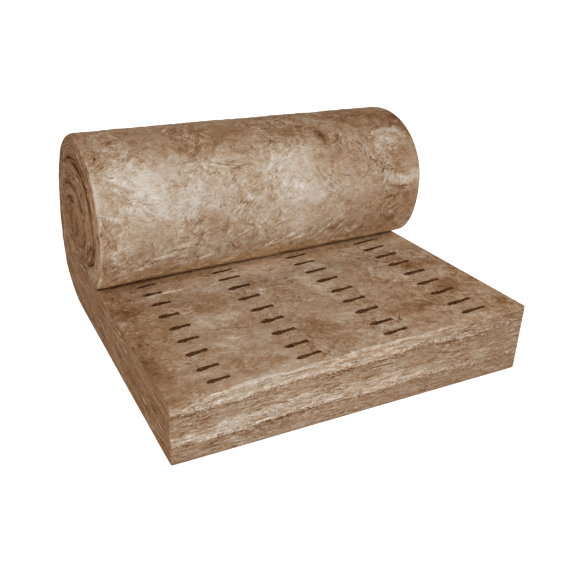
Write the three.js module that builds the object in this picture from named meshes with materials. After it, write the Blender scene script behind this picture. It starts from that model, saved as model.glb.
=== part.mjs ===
import * as THREE from 'three';

// A roll of glass wool blanket, part unrolled. The free end lies flat as a thick tail, and the rest
// is still wound and rests on that tail. It is one strip from the cut end to the eye of the roll, so
// it is lofted as one closed solid along its own length.
//
// Millimetres. X runs across the strip, Y from the cut end to the roll, Z up from the floor.

// ---- Driving dimensions ----

const stripWidth = 1200;
const tailThicknessLeft = 190; // the wool has sprung back less on this side
const tailThicknessRight = 232;
const openTail = 606; // from the cut end to the front of the roll, seen from above
const turnGap = 4; // the slit between neighbouring turns

const eyeWidth = 48; // the hole in the middle of the roll, along Y
const eyeHeight = 87;

// The strip is squeezed differently on each side of the eye. Each row goes from the outermost turn in.
const backWalls = [95, 65, 60, 62];
const topWalls = [88, 90, 48, 18];
const frontWalls = [66, 112, 88, 58];
const underWalls = [65, 43, 30, 14];
const footRuns = [210, 70, 35, 10, 4]; // how much of each turn lies flat on the one below it

const curlReach = 280; // how far the tail runs back while it leaves the floor
const curlRise = 10; // height of the rearmost point above the top of the tail
const crownLean = 60; // the top of the roll leans this far to the front
const curlFullness = 2.4; // 2 is an ellipse, more is squarer
const turnFullness = 2.1;
const crownFullness = 2.0; // the same over the front of the top, and down to the foot of the front
const bellyFullness = 2.3;

const rightSqueeze = 22; // the right end of the roll is this much lower above the tail

const tailEdgeRound = 5; // along the two long edges of the tail
const turnEdgeRound = 14; // the same edges where they are wound
const cutEdgeRound = 4; // round the cut end
const mostRound = 0.45; // no edge is rounded by more than this share of the strip's thickness
const sideSwell = 6; // how far the squeezed turns spread at each end of the roll
const telescope = 4; // each inner turn sticks out this much further to the left

const woolBrown = 0x9c7f63;

// ---- Facets ----

const tailSteps = 4;
const stepsOfTurn = [10, 8, 7, 6]; // to each quarter of a turn
const cornerSteps = 3;

// ---- Outlines of the turns ----

const turnCount = backWalls.length;
const sum = (walls) => walls.reduce((total, wall) => total + wall, 0);

// x goes from 0 at the left edge of the strip to 1 at the right.
function tailThickness(x) {
  return THREE.MathUtils.lerp(tailThicknessLeft, tailThicknessRight, x);
}

// The share of their height at the left end that the turns keep.
function squeeze(x) {
  const rise = sum(underWalls) + eyeHeight + sum(topWalls);
  return 1 - (rightSqueeze / rise) * x;
}

// Extreme points of the outer face of one turn. The turn after the last one is the edge of the eye.
// The face is moved outwards by grow, which gives the inner face of the turn around it.
function extremes(turn, grow, x) {
  const eyeBack = openTail + sum(frontWalls) + eyeWidth;
  const front = openTail + sum(frontWalls.slice(0, turn)) - grow;
  const back = eyeBack + sum(backWalls.slice(turn)) + grow;
  const bed = tailThickness(x) + turnGap;
  const foot = turn === 0 ? 0 : bed + squeeze(x) * sum(underWalls.slice(0, turn - 1)) - grow;
  const top = bed + squeeze(x) * (sum(underWalls) + eyeHeight + sum(topWalls.slice(turn))) + grow;
  const lean = crownLean * (1 - turn / turnCount);
  return { front, back, foot, top, topY: (front + back) / 2 - lean };
}

// Where the strip lies flat under a turn, as [first y, last y]. The tail lies under the first turn.
function footOf(turn, grow, x) {
  if (turn === 0) {
    return [0, extremes(0, grow, x).back - curlReach];
  }
  const middle = (extremes(turn - 1, grow, x).front + extremes(turn, grow, x).back) / 2;
  const half = footRuns[turn - 1] / 2;
  return [middle - half, middle + half];
}

// A quarter of an ellipse, or of a squarer curve, that leaves start level or upright.
function quarter(start, end, level, fullness, f) {
  const along = Math.sin((f * Math.PI) / 2) ** (2 / fullness);
  const away = Math.cos((f * Math.PI) / 2) ** (2 / fullness);
  return level
    ? new THREE.Vector2(start.x + (end.x - start.x) * along, end.y + (start.y - end.y) * away)
    : new THREE.Vector2(end.x + (start.x - end.x) * away, start.y + (end.y - start.y) * along);
}

function backPoint(turn, grow, x) {
  const { back, foot, top } = extremes(turn, grow, x);
  const height = turn === 0 ? tailThickness(x) + curlRise : (foot + top) / 2;
  return new THREE.Vector2(back, height);
}

function topPoint(turn, grow, x) {
  const { top, topY } = extremes(turn, grow, x);
  return new THREE.Vector2(topY, top);
}

function frontPoint(turn, grow, x) {
  const { front, top } = extremes(turn, grow, x);
  return new THREE.Vector2(front, (top + extremes(turn + 1, grow, x).foot) / 2);
}

function footPoint(turn, grow, x, f) {
  const [first, last] = footOf(turn, grow, x);
  return new THREE.Vector2(THREE.MathUtils.lerp(first, last, f), extremes(turn, grow, x).foot);
}

// The five stretches of a turn in winding order, each as a function of the share f passed so far.
const stretches = [
  (turn, grow, x, f) => footPoint(turn, grow, x, f),
  (turn, grow, x, f) => {
    const fullness = turn === 0 ? curlFullness : turnFullness;
    return quarter(footPoint(turn, grow, x, 1), backPoint(turn, grow, x), true, fullness, f);
  },
  (turn, grow, x, f) =>
    quarter(backPoint(turn, grow, x), topPoint(turn, grow, x), false, turnFullness, f),
  (turn, grow, x, f) =>
    quarter(topPoint(turn, grow, x), frontPoint(turn, grow, x), true, crownFullness, f),
  (turn, grow, x, f) =>
    quarter(frontPoint(turn, grow, x), footPoint(turn + 1, grow, x, 0), false, bellyFullness, f),
];

// ---- Loft along the strip ----

// The stations, from the cut end to the end of the strip in the eye. The first two round the cut end.
function stations() {
  const tailRun = footPoint(0, 0, 0, 1).x;
  const list = [
    { turn: 0, stretch: 0, f: 0, inset: cutEdgeRound },
    { turn: 0, stretch: 0, f: cutEdgeRound / tailRun, inset: 0 },
  ];
  for (let turn = 0; turn < turnCount; turn += 1) {
    for (let stretch = 0; stretch < stretches.length; stretch += 1) {
      const flatSteps = turn === 0 ? tailSteps : 1;
      const steps = stretch === 0 ? flatSteps : stepsOfTurn[turn];
      for (let i = 1; i <= steps; i += 1) {
        list.push({ turn, stretch, f: i / steps, inset: 0 });
      }
    }
  }
  return list;
}

// The outer and inner face of the strip at a station, as points (y, z).
function faces({ turn, stretch, f }, x) {
  const outer = stretches[stretch](turn, 0, x, f);
  const inner = stretches[stretch](turn + 1, turnGap, x, f);
  if (turn === 0 && stretch === 0) {
    inner.x = f * footPoint(1, turnGap, x, 1).x; // the bare tail starts at the cut end
  }
  return { outer, inner, thickness: outer.distanceTo(inner) };
}

// How far round the roll a station is, in turns, counted from where the tail leaves the floor.
function turnsPassed({ turn, stretch, f }) {
  return Math.max(0, turn + (stretch - 1 + f) / (stretches.length - 1));
}

// The section of the strip at a station: a rectangle with rounded corners, as one ring of points
// that starts at the left end of the outer face and comes back along the inner face.
function section(station) {
  const { inset } = station;
  const wound = Math.min(1, turnsPassed(station));
  const slip = telescope * Math.max(0, turnsPassed(station) - 1);
  const halfWidth = stripWidth / 2 + sideSwell * wound - inset;

  const corner = (side, face) => {
    const { outer, inner, thickness } = faces(station, (side + 1) / 2);
    const swell = THREE.MathUtils.lerp(tailEdgeRound, turnEdgeRound, wound);
    const round = Math.min(swell, mostRound * thickness);
    return Array.from({ length: cornerSteps + 1 }, (_, i) => {
      const angle = (i / cornerSteps) * (Math.PI / 2);
      const across = halfWidth - round * (1 - Math.cos(angle));
      const depth = inset + round * (1 - Math.sin(angle));
      const share = face === 'outer' ? depth / thickness : 1 - depth / thickness;
      const at = outer.clone().lerp(inner, share);
      return new THREE.Vector3(side * across - slip, at.x, at.y);
    });
  };

  return [
    ...corner(-1, 'outer'),
    ...corner(1, 'outer').reverse(),
    ...corner(1, 'inner'),
    ...corner(-1, 'inner').reverse(),
  ];
}

// Skins the sections into one closed mesh. Each end is covered by quads from face to face.
function loft(rings) {
  const size = rings[0].length;
  const index = [];
  const quad = (a, b, c, d) => index.push(a, b, c, a, c, d);
  for (let i = 0; i + 1 < rings.length; i += 1) {
    for (let j = 0; j < size; j += 1) {
      const next = (j + 1) % size;
      quad(i * size + j, (i + 1) * size + j, (i + 1) * size + next, i * size + next);
    }
  }
  const last = (rings.length - 1) * size;
  for (let j = 0; j + 1 < size / 2; j += 1) {
    const [k, kNext] = [size - 1 - j, size - 2 - j];
    quad(j, j + 1, kNext, k);
    quad(last + k, last + kNext, last + j + 1, last + j);
  }
  const geometry = new THREE.BufferGeometry().setFromPoints(rings.flat());
  geometry.setIndex(index);
  geometry.computeVertexNormals();
  return geometry;
}

// ---- The part ----

const wool = new THREE.MeshStandardMaterial({ color: woolBrown, roughness: 1, metalness: 0 });
const blanket = new THREE.Mesh(loft(stations().map(section)), wool);
blanket.name = 'insulation_blanket';

// The origin is on the floor, under the middle of the whole part.
const middle = new THREE.Box3().setFromObject(blanket).getCenter(new THREE.Vector3());
blanket.position.set(-middle.x, -middle.y, 0);

const insulationRoll = new THREE.Group();
insulationRoll.name = 'insulation_roll';
insulationRoll.add(blanket);

export default insulationRoll;
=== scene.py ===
import math

import bpy
import numpy as np
from mathutils import Matrix, Vector


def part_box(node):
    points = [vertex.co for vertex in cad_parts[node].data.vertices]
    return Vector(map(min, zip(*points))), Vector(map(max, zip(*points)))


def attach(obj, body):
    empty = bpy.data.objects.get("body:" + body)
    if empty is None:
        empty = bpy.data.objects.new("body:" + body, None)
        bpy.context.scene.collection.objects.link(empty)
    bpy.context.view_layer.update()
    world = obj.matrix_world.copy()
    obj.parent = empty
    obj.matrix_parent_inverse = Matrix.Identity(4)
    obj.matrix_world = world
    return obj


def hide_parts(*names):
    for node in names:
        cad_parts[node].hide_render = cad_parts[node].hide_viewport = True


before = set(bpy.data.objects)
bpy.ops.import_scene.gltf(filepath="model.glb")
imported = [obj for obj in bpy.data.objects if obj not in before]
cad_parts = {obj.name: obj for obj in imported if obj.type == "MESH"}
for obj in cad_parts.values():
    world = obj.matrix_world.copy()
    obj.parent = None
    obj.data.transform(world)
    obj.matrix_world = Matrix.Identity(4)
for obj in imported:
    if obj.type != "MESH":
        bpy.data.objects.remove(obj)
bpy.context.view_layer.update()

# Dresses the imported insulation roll: a strip of brown glass wool, part unrolled. The free end is a
# thick flat tail with dark dashes across it, and the rest is wound and lies on the tail.
#
# Metres. A point of the strip has three numbers: x across it from its left edge, s along its outer
# face from the cut end, and depth, its share of the thickness from the outer face to the inner one.
# The outer face is under the tail and outside the roll, so the tail's top is its inner face. The faces
# that show are called roll, top (of the tail), cut, left and right.

MM = 0.001
NODE = "insulation_blanket"


# ---- Seeded noise ----

NOISE_GAIN = 1.6  # brings the noise to about -1 to 1
OCTAVE_OFFSET = 17.3  # keeps the layers of octaves apart


class Noise:
    """Smooth gradient noise from about -1 to 1, the same on each run."""

    def __init__(self, seed):
        random = np.random.default_rng(seed)
        self.order = np.tile(random.permutation(256), 2)
        slopes = random.normal(size=(256, 3))
        self.slopes = slopes / np.linalg.norm(slopes, axis=1, keepdims=True)

    def __call__(self, points):
        cell = np.floor(points).astype(int)
        inside = points - cell
        ease = inside**3 * (inside * (inside * 6 - 15) + 10)
        low = cell & 255
        total = np.zeros(len(points))
        for corner in np.ndindex(2, 2, 2):
            i, j, k = ((low + corner) & 255).T
            slope = self.slopes[self.order[self.order[self.order[i] + j] + k]]
            share = np.prod(np.where(corner, ease, 1 - ease), axis=1)
            total += share * np.einsum("ij,ij->i", slope, inside - corner)
        return NOISE_GAIN * total


def octaves(noise, points, count, gain=0.55):
    """Several layers of noise, each twice as fine as the one before."""
    total = np.zeros(len(points))
    for level in range(count):
        total += gain**level * noise(points * 2**level + OCTAVE_OFFSET * level)
    return total


def smooth(value, low, high):
    """Goes smoothly from 0 at low to 1 at high. High may be the smaller of the two."""
    t = np.clip((value - low) / (high - low), 0, 1)
    return t * t * (3 - 2 * t)


def columns(*parts):
    """An array with the parts as its columns."""
    return np.column_stack(parts)


def bell(value, middle, spread):
    """1 at the middle, and less to both sides of it."""
    return np.exp(-(((value - middle) / spread) ** 2))


# ---- Outline of the wound strip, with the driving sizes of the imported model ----

STRIP_WIDTH = 1200 * MM
TAIL_LEFT, TAIL_RIGHT = 190 * MM, 232 * MM  # thickness of the tail at its two edges
OPEN_TAIL = 606 * MM  # from the cut end to the front of the roll, seen from above
# The slits behind the outermost turn and behind the others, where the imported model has 4 mm too.
TURN_GAP, INNER_GAP = 4 * MM, 1 * MM
EYE_WIDTH, EYE_HEIGHT = 48 * MM, 87 * MM
BACK_WALLS = np.array([95, 65, 60, 62]) * MM  # from the outermost turn in, as the three below
TOP_WALLS = np.array([88, 90, 48, 18]) * MM
FRONT_WALLS = np.array([66, 112, 88, 58]) * MM
UNDER_WALLS = np.array([65, 43, 30, 14]) * MM
FOOT_RUNS = np.array([210, 70, 35, 10, 4]) * MM  # how much of each turn lies flat on the one below
CURL_REACH = 280 * MM  # how far the tail runs back while it leaves the floor
CURL_RISE = 10 * MM  # height of the rearmost point above the top of the tail
CROWN_LEAN = 60 * MM  # the top of the roll leans this far to the front
CURL_FULLNESS, TURN_FULLNESS, CROWN_FULLNESS, BELLY_FULLNESS = 2.4, 2.1, 2.0, 2.3  # 2 is an ellipse
RIGHT_SQUEEZE = 22 * MM  # the right end of the roll is this much lower above the tail
SIDE_SWELL = 6 * MM  # how far the squeezed turns spread at each end of the roll
TELESCOPE = 4 * MM  # each inner turn sticks out this much further to the left
TURNS = len(BACK_WALLS)
FINE_STEP, TAIL_STEP, INNER_STEP = 8 * MM, 6.5 * MM, 11 * MM  # between stations

FOOT, UP, OVER, FRONT, DOWN = range(5)  # the stretches of a turn, in winding order


def tail_thickness(across):
    return TAIL_LEFT + (TAIL_RIGHT - TAIL_LEFT) * across


def extremes(turn, grow, across):
    """Front, back, foot, top and crown of a turn's outer face, at a share of the width."""
    eye_top = UNDER_WALLS.sum() + EYE_HEIGHT
    kept = 1 - RIGHT_SQUEEZE / (eye_top + TOP_WALLS.sum()) * across
    front = OPEN_TAIL + FRONT_WALLS[:turn].sum() - grow
    back = OPEN_TAIL + FRONT_WALLS.sum() + EYE_WIDTH + BACK_WALLS[turn:].sum() + grow
    bed = tail_thickness(across) + TURN_GAP
    foot = 0 if turn == 0 else bed + kept * UNDER_WALLS[: turn - 1].sum() - grow
    top = bed + kept * (eye_top + TOP_WALLS[turn:].sum()) + grow
    crown = (front + back) / 2 - CROWN_LEAN * (1 - turn / TURNS)
    return front, back, foot, top, crown


def foot_point(turn, grow, across, f):
    """A point on the level stretch under a turn. f goes from 0 to 1 along each stretch."""
    front, back, foot, top, crown = extremes(turn, grow, across)
    if turn == 0:
        return np.array([f * (back - CURL_REACH), 0])
    middle = (extremes(turn - 1, grow, across)[0] + back) / 2
    return np.array([middle + (f - 0.5) * FOOT_RUNS[turn - 1], foot])


def quarter(start, end, level, fullness, f):
    """A point on a quarter of an ellipse, or of a squarer curve, that leaves level or upright."""
    along = math.sin(f * math.pi / 2) ** (2 / fullness)
    away = max(0, math.cos(f * math.pi / 2)) ** (2 / fullness)
    if level:
        return np.array([start[0] + (end[0] - start[0]) * along, end[1] + (start[1] - end[1]) * away])
    return np.array([end[0] + (start[0] - end[0]) * away, start[1] + (end[1] - start[1]) * along])


def outline(turn, stretch, grow, across, f):
    """A point (y, z) on a turn's outer face, moved outwards by grow."""
    front, back, foot, top, crown = extremes(turn, grow, across)
    rear_height = tail_thickness(across) + CURL_RISE if turn == 0 else (foot + top) / 2
    rear, crest = (back, rear_height), (crown, top)
    face = (front, (top + extremes(turn + 1, grow, across)[2]) / 2)
    if stretch == FOOT:
        return foot_point(turn, grow, across, f)
    if stretch == UP:
        fullness = CURL_FULLNESS if turn == 0 else TURN_FULLNESS
        return quarter(foot_point(turn, grow, across, 1), rear, True, fullness, f)
    if stretch == OVER:
        return quarter(rear, crest, False, TURN_FULLNESS, f)
    if stretch == FRONT:
        return quarter(crest, face, True, CROWN_FULLNESS, f)
    return quarter(face, foot_point(turn + 1, grow, across, 0), False, BELLY_FULLNESS, f)


def both_faces(turn, stretch, f, across):
    """The outer and the inner face of the strip at a station."""
    inner = outline(turn + 1, stretch, TURN_GAP if turn == 0 else INNER_GAP, across, f)
    if turn == 0 and stretch == FOOT:
        inner[0] = f * foot_point(1, TURN_GAP, across, 1)[0]  # the bare tail starts at the cut end
    return np.array([outline(turn, stretch, 0, across, f), inner])


class Strip:
    """Stations along the strip, evenly spaced on its outer face, and the space between them."""

    def __init__(self):
        stations, start = [(0, FOOT, 0.0, 0.0)], 0.0
        self.ends = {}
        shares = np.linspace(0, 1, 201)
        for turn, stretch in np.ndindex(TURNS, 5):
            line = np.array([outline(turn, stretch, 0, 0.5, f) for f in shares])
            run = np.append(0, np.cumsum(np.hypot(*np.diff(line, axis=0).T)))
            spacing = INNER_STEP if turn else TAIL_STEP if stretch == FOOT else FINE_STEP
            steps = max(1, math.ceil(run[-1] / spacing))
            for i in range(1, steps + 1):
                at = run[-1] * i / steps
                stations.append((turn, stretch, np.interp(at, run, shares), start + at))
            start += run[-1]
            self.ends[turn, stretch] = start
        self.at = np.array([station[3] for station in stations])
        self.corners = np.array([[both_faces(*spot[:3], side) for side in (0, 1)] for spot in stations])
        self.passed = np.array([max(0, turn + (part - 1 + f) / 4) for turn, part, f, _ in stations])
        self.shift = np.zeros(3)

    def place(self, x, s, depth):
        """Points of the row frame. The outline changes evenly across the strip."""
        i = np.clip(np.searchsorted(self.at, s) - 1, 0, len(self.at) - 2)
        w = ((s - self.at[i]) / (self.at[i + 1] - self.at[i]))[:, None, None, None]
        corners = self.corners[i] * (1 - w) + self.corners[i + 1] * w
        across = (x / STRIP_WIDTH)[:, None, None]
        faces = corners[:, 0] * (1 - across) + corners[:, 1] * across
        yz = faces[:, 0] + (faces[:, 1] - faces[:, 0]) * depth[:, None]
        passed = np.interp(s, self.at, self.passed)
        swell = 1 + SIDE_SWELL / (STRIP_WIDTH / 2) * np.minimum(1, passed)
        slip = TELESCOPE * np.maximum(0, passed - 1)
        wide = (x - STRIP_WIDTH / 2) * swell - slip
        return columns(wide, yz) + self.shift

    def thickness(self, x, s):
        """From the outer face to the inner one."""
        i = np.clip(np.searchsorted(self.at, s), 0, len(self.at) - 1)
        walls = np.linalg.norm(self.corners[i, :, 1] - self.corners[i, :, 0], axis=-1)
        return walls[:, 0] + (walls[:, 1] - walls[:, 0]) * x / STRIP_WIDTH

    def normals(self, x, s, depth):
        """Directions straight out of the outer face (depth 0) or the inner one (depth 1)."""
        step = 2 * MM
        along = self.place(x, s + step, depth) - self.place(x, s - step, depth)
        wide = self.place(x + step, s, depth) - self.place(x - step, s, depth)
        out = np.cross(along, wide) * np.where(depth < 0.5, 1, -1)[:, None]
        return out / np.linalg.norm(out, axis=1, keepdims=True)


strip = Strip()
corner_lines = np.meshgrid([0, STRIP_WIDTH], strip.at, [0, 1])
corner_points = strip.place(*(numbers.ravel() for numbers in corner_lines))
box_low, box_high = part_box(NODE)
off_centre = (box_low + box_high - Vector(corner_points.min(0) + corner_points.max(0))) / 2
strip.shift = np.array([off_centre.x, off_centre.y, 0])

# Marks along s: the tail leaves the floor, passes the back, and the front comes down to the tail.
LIFT_S, BACK_S, FOOT_S = strip.ends[0, FOOT], strip.ends[0, UP], strip.ends[0, DOWN]
CROWN_S, CROWN_SPREAD = 2.03, 0.14  # the top of the roll


# ---- The blanket's own mesh: a lattice over the six faces of the strip ----

X_CELLS, DEPTH_CELLS = 320, 42  # of the finest faces
FACE_X, FACE_DEPTH = 2, 3  # lattice steps on the other faces
COARSE_X = (0, 2, 4, 8, 64, 128, 192, 256, 312, 316, 318, 320)  # lines on the hidden faces
# Roundings of the strip's edges: of the tail, the outermost turn, the cut end's lower left corner, the
# left edge over the top of the roll, and the inner turns.
TAIL_ROUND, TURN_ROUND, CORNER_ROUND, CROWN_ROUND, INNER_ROUND = np.array([3.5, 10, 5, 26, 5]) * MM
MOST_ROUND = 0.45  # of the thickness
HIDDEN_TAIL = OPEN_TAIL + 150 * MM  # the tail's top is out of sight past this


def eased(cells, share):
    """Positions from 0 to 1, closer together near both ends."""
    even = np.linspace(0, 1, cells + 1)
    return (1 - share) * even + share * (0.5 - 0.5 * np.cos(math.pi * even))


X_AT = eased(X_CELLS, 0.35) * STRIP_WIDTH
DEPTH_AT = eased(DEPTH_CELLS, 0.6)


def lattice_faces():
    """The faces of the mesh, as loops of lattice corners (x, station, depth)."""
    last = len(strip.at) - 1
    stations = range(last + 1)
    marks = (HIDDEN_TAIL, LIFT_S - 30 * MM, FOOT_S - 1e-6)
    under_roll, tail_end, first_turn = (int(np.searchsorted(strip.at, mark)) for mark in marks)
    fine_x, coarse_x = range(0, X_CELLS + 1, FACE_X), COARSE_X
    depths = range(0, DEPTH_CELLS + 1, FACE_DEPTH)
    loops = []

    def cover(axis, value, first_lines, second_lines, flip):
        """One face, which lies across the axis at a value and has the lines of the other two axes."""
        for a, b in zip(first_lines, first_lines[1:]):
            for c, d in zip(second_lines, second_lines[1:]):
                loop = [(a, c), (b, c), (b, d), (a, d)]
                corners = [p[:axis] + (value,) + p[axis:] for p in loop]
                loops.append(corners[::-1] if flip else corners)

    def outer_and_inner(first, end, outer_x, inner_x):
        """Both faces of a part of the strip, between two stations."""
        part = stations[first : end + 1]
        cover(2, 0, outer_x, part, True)
        cover(2, DEPTH_CELLS, inner_x, part, False)

    outer_and_inner(0, under_roll, coarse_x, fine_x)
    outer_and_inner(under_roll, tail_end, coarse_x, coarse_x)
    outer_and_inner(tail_end, first_turn, fine_x, coarse_x)
    outer_and_inner(first_turn, last, coarse_x, coarse_x)
    cover(0, 0, stations, depths, True)
    cover(0, X_CELLS, stations, depths, False)
    cover(1, 0, range(X_CELLS + 1), range(DEPTH_CELLS + 1), False)
    cover(1, last, coarse_x, depths, True)
    return loops


def weld(loops):
    """Numbers the corners, and lets a face take in the corners that lie on its edges."""
    numbers = {}
    for loop in loops:
        for corner in loop:
            numbers.setdefault(corner, len(numbers))
    polygons = []
    for loop in loops:
        polygon = []
        for start, end in zip(loop, loop[1:] + loop[:1]):
            gap = [b - a for a, b in zip(start, end)]
            steps = max(map(abs, gap))
            for k in range(steps):
                spot = tuple(a + g * k // steps for a, g in zip(start, gap))
                if spot in numbers:
                    polygon.append(numbers[spot])
        polygons.append(polygon)
    return np.array(list(numbers)), polygons


def over_crown(s):
    """1 at the top of the roll, and 0 away from it."""
    return bell(s, CROWN_S, CROWN_SPREAD)


def rounded(x, s, depth):
    """Moves points near the strip's edges onto a rounding, and gives x, s and depth again."""
    thick = strip.thickness(x, s)
    passed = np.interp(s, strip.at, strip.passed)
    radius = TAIL_ROUND + (TURN_ROUND - TAIL_ROUND) * np.minimum(1, passed)
    to_corner = np.sqrt(x**2 + s**2 + (depth * thick) ** 2)
    radius = radius + (CORNER_ROUND - TAIL_ROUND) * smooth(to_corner, 90 * MM, 0)
    radius = radius + (INNER_ROUND - TURN_ROUND) * smooth(passed, 1.0, 1.3)
    outer_left = (x < STRIP_WIDTH / 2) & (depth < 0.5)
    radius = radius + (CROWN_ROUND - TURN_ROUND) * outer_left * over_crown(s)
    radius = np.minimum(radius, MOST_ROUND * thick)
    from_side = np.minimum(x, STRIP_WIDTH - x)
    from_face = np.minimum(depth, 1 - depth) * thick
    reach = columns(from_side, s, from_face)
    inside = np.maximum(0, radius[:, None] - reach)
    furthest = inside.max(1)
    scale = np.where(furthest > 0, furthest / np.maximum(np.linalg.norm(inside, axis=1), 1e-9), 1)
    moved = np.where(inside > 0, radius[:, None] - inside * scale[:, None], reach)
    new_x = np.where(x < STRIP_WIDTH / 2, moved[:, 0], STRIP_WIDTH - moved[:, 0])
    new_depth = np.where(depth < 0.5, moved[:, 2] / thick, 1 - moved[:, 2] / thick)
    return new_x, moved[:, 1], new_depth


lattice, polygons = weld(lattice_faces())
x, s, depth = rounded(X_AT[lattice[:, 0]], strip.at[lattice[:, 1]], DEPTH_AT[lattice[:, 2]])
points = strip.place(x, s, depth)


def on_face(face, u, v):
    """Strip coordinates of points of a face. Along the ends u is s, and elsewhere it is x."""
    if face in ("roll", "top"):
        return u, v, np.full(len(u), float(face == "top"))
    if face == "cut":
        return u, 0 * u, v / strip.thickness(u, 0 * u)
    x = np.full(len(u), 0 if face == "left" else STRIP_WIDTH)
    return x, u, v / strip.thickness(x, u)


def outward(face, x, s, depth):
    """Directions straight out of a face."""
    if face in ("roll", "top"):
        return strip.normals(x, s, depth)
    direction = {"cut": (0, -1, 0), "left": (-1, 0, 0), "right": (1, 0, 0)}[face]
    return np.tile(np.array(direction, float), (len(x), 1))


# The faces that show, as masks over the mesh. A vertex on an edge belongs to both faces.
FACES = {
    "roll": (lattice[:, 2] == 0) & (s > LIFT_S) & (s < FOOT_S),
    "top": (lattice[:, 2] == DEPTH_CELLS) & (s < HIDDEN_TAIL),
    "cut": lattice[:, 1] == 0,
    "left": lattice[:, 0] == 0,
    "right": lattice[:, 0] == X_CELLS,
}


# ---- Looks of the faces: tone, which is how pale the wool is from 0 to 1 with painted light and shade in places, shade warmth and contrast ----

# Patches in mm: (x, s or y, half length, half width, tone in hundredths, and a turn in degrees if any).
ROLL_PATCHES = [
    (140, 2320, 90, 55, 6, 35), (230, 2395, 120, 60, 5, 20), (640, 2370, 120, 90, 7, 70),
    (720, 2430, 130, 42, 7, -15), (40, 2390, 40, 60, 5), (1138, 2426, 66, 27, 19),
    (1078, 2272, 46, 34, 13), (1130, 2225, 55, 18, 7), (690, 2565, 60, 50, 8, 80), (380, 2145, 26, 14, 9),
    (832, 2232, 42, 24, -12, 70), (885, 2262, 52, 12, -8, 107), (350, 2232, 58, 30, -8),
    (1105, 2330, 50, 38, -12), (750, 2190, 95, 22, -6), (52, 2385, 30, 13, -8),
    (560, 2270, 50, 40, -6, 60), (360, 2480, 60, 36, -7), (1130, 2560, 100, 80, -6),
    (470, 2160, 60, 60, -7), (1030, 2130, 130, 46, -9, 10), (120, 2190, 60, 40, 5),
    (850, 2440, 60, 50, 4), (18, 2540, 22, 130, -8), (1185, 2200, 30, 60, -12), (300, 2270, 70, 9, 6, 6),
    (470, 2275, 60, 16, 7), (400, 2140, 26, 40, -8), (30, 2250, 40, 60, -5), (440, 2462, 80, 24, 5, 27),
    (535, 2555, 28, 45, 6), (820, 2150, 24, 42, 7), (1050, 2150, 30, 36, 8), (935, 2430, 26, 56, 6),
    (805, 2305, 40, 20, -7), (832, 2370, 40, 50, -6), (345, 2540, 30, 32, -6), (70, 2358, 34, 26, -8),
    (610, 2512, 40, 30, 7), (490, 2272, 34, 26, -7), (100, 2200, 40, 26, 6), (780, 2302, 30, 26, -6),
    (765, 2440, 36, 26, 6), (830, 2512, 34, 28, 6), (225, 2500, 36, 26, 5), (965, 2610, 46, 40, -5),
    (50, 2470, 26, 40, -5), (190, 2655, 130, 28, -4), (445, 2284, 24, 24, 5), (690, 2335, 18, 18, -5),
    (305, 2575, 26, 20, 5), (880, 2140, 20, 30, 6),
]
TAIL_PATCHES = [
    (258, 372, 46, 34, 10), (330, 365, 28, 38, 7), (540, 165, 52, 76, -10, 10), (690, 205, 72, 24, 6, 10),
    (870, 165, 95, 34, -8, 10), (1082, 250, 44, 42, -15, 20), (1060, 432, 34, 28, -11),
    (1135, 425, 28, 24, -8), (960, 365, 26, 34, 7), (15, 205, 30, 70, -12), (305, 520, 50, 44, -4),
    (300, 450, 36, 26, -8), (848, 72, 24, 18, -8), (690, 420, 18, 60, 12, -20), (660, 520, 40, 50, 6),
    (60, 560, 60, 60, -8), (905, 140, 60, 22, -5), (70, 90, 60, 30, 4), (640, 80, 40, 30, 5, -30),
    (920, 480, 30, 70, 7), (1190, 250, 40, 200, -5), (600, 670, 110, 40, 8), (100, 420, 60, 80, -5),
    (540, 420, 30, 60, -5), (150, 600, 80, 14, 7, 8), (880, 640, 50, 40, 7), (270, 22, 90, 16, 6),
    (12, 445, 34, 25, 7), (380, 520, 60, 50, 4), (585, 585, 26, 60, 5), (715, 575, 46, 22, 7),
    (930, 455, 24, 60, 5, 20), (1130, 460, 50, 26, 6), (925, 70, 60, 40, 4), (590, 350, 60, 60, -4),
    (790, 200, 90, 22, -6, -35), (345, 65, 50, 28, -8, -50), (300, 140, 60, 26, -4, 20),
    (170, 180, 60, 18, -5, 20), (95, 340, 22, 60, -6, -15), (30, 110, 34, 34, -8), (1000, 390, 36, 34, 8),
    (1140, 90, 40, 34, -7), (370, 20, 44, 22, 7), (410, 150, 36, 30, -6), (840, 230, 40, 30, -6),
    (110, 60, 40, 24, -6), (990, 20, 50, 22, 6), (250, 80, 34, 26, -6), (690, 280, 40, 34, 6),
    (860, 650, 60, 28, -6), (1160, 550, 50, 40, -5), (452, 92, 24, 24, -5), (440, 345, 24, 24, 5),
    (245, 225, 30, 24, -5),
]
ROLL_TONE, TOP_TONE, CUT_TONE, END_TONE = 0.61, 0.53, 0.54, 0.47
HIDDEN_TONE = 0.45  # of the faces that don't show
PATCH_BEND, PATCH_BEND_SCALE = 22 * MM, 9  # how noise bends the outlines of the patches
CREASE_Y = OPEN_TAIL + 128 * MM  # where the roll hides the top of the tail from above
# Painted shade along the slits between the turns on the ends: how dark it is, and how far it reaches.
SLIT_PAINTED_SHADE, SLIT_REACH = 0.20, 5 * MM
TURN_LENGTH = 1.6  # about the length of an outer turn

broad_noise, middle_noise, fine_noise, warp_noise = (Noise(seed) for seed in (11, 12, 13, 14))


def y_of(x, s, depth):
    """How far points are from the cut end, seen from above."""
    return strip.place(x, s, depth)[:, 1] - strip.shift[1]


def soft_patch(u, v, centre_u, centre_v, length, width, tone, turn=0):
    """One patch, which fades towards its outline."""
    du, dv = u - centre_u * MM, v - centre_v * MM
    c, k = math.cos(math.radians(turn)), math.sin(math.radians(turn))
    along, away = (c * du + k * dv) / (length * MM), (c * dv - k * du) / (width * MM)
    return tone / 100 * np.exp(-((along**2 + away**2) ** 1.5) * 0.7)


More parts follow.
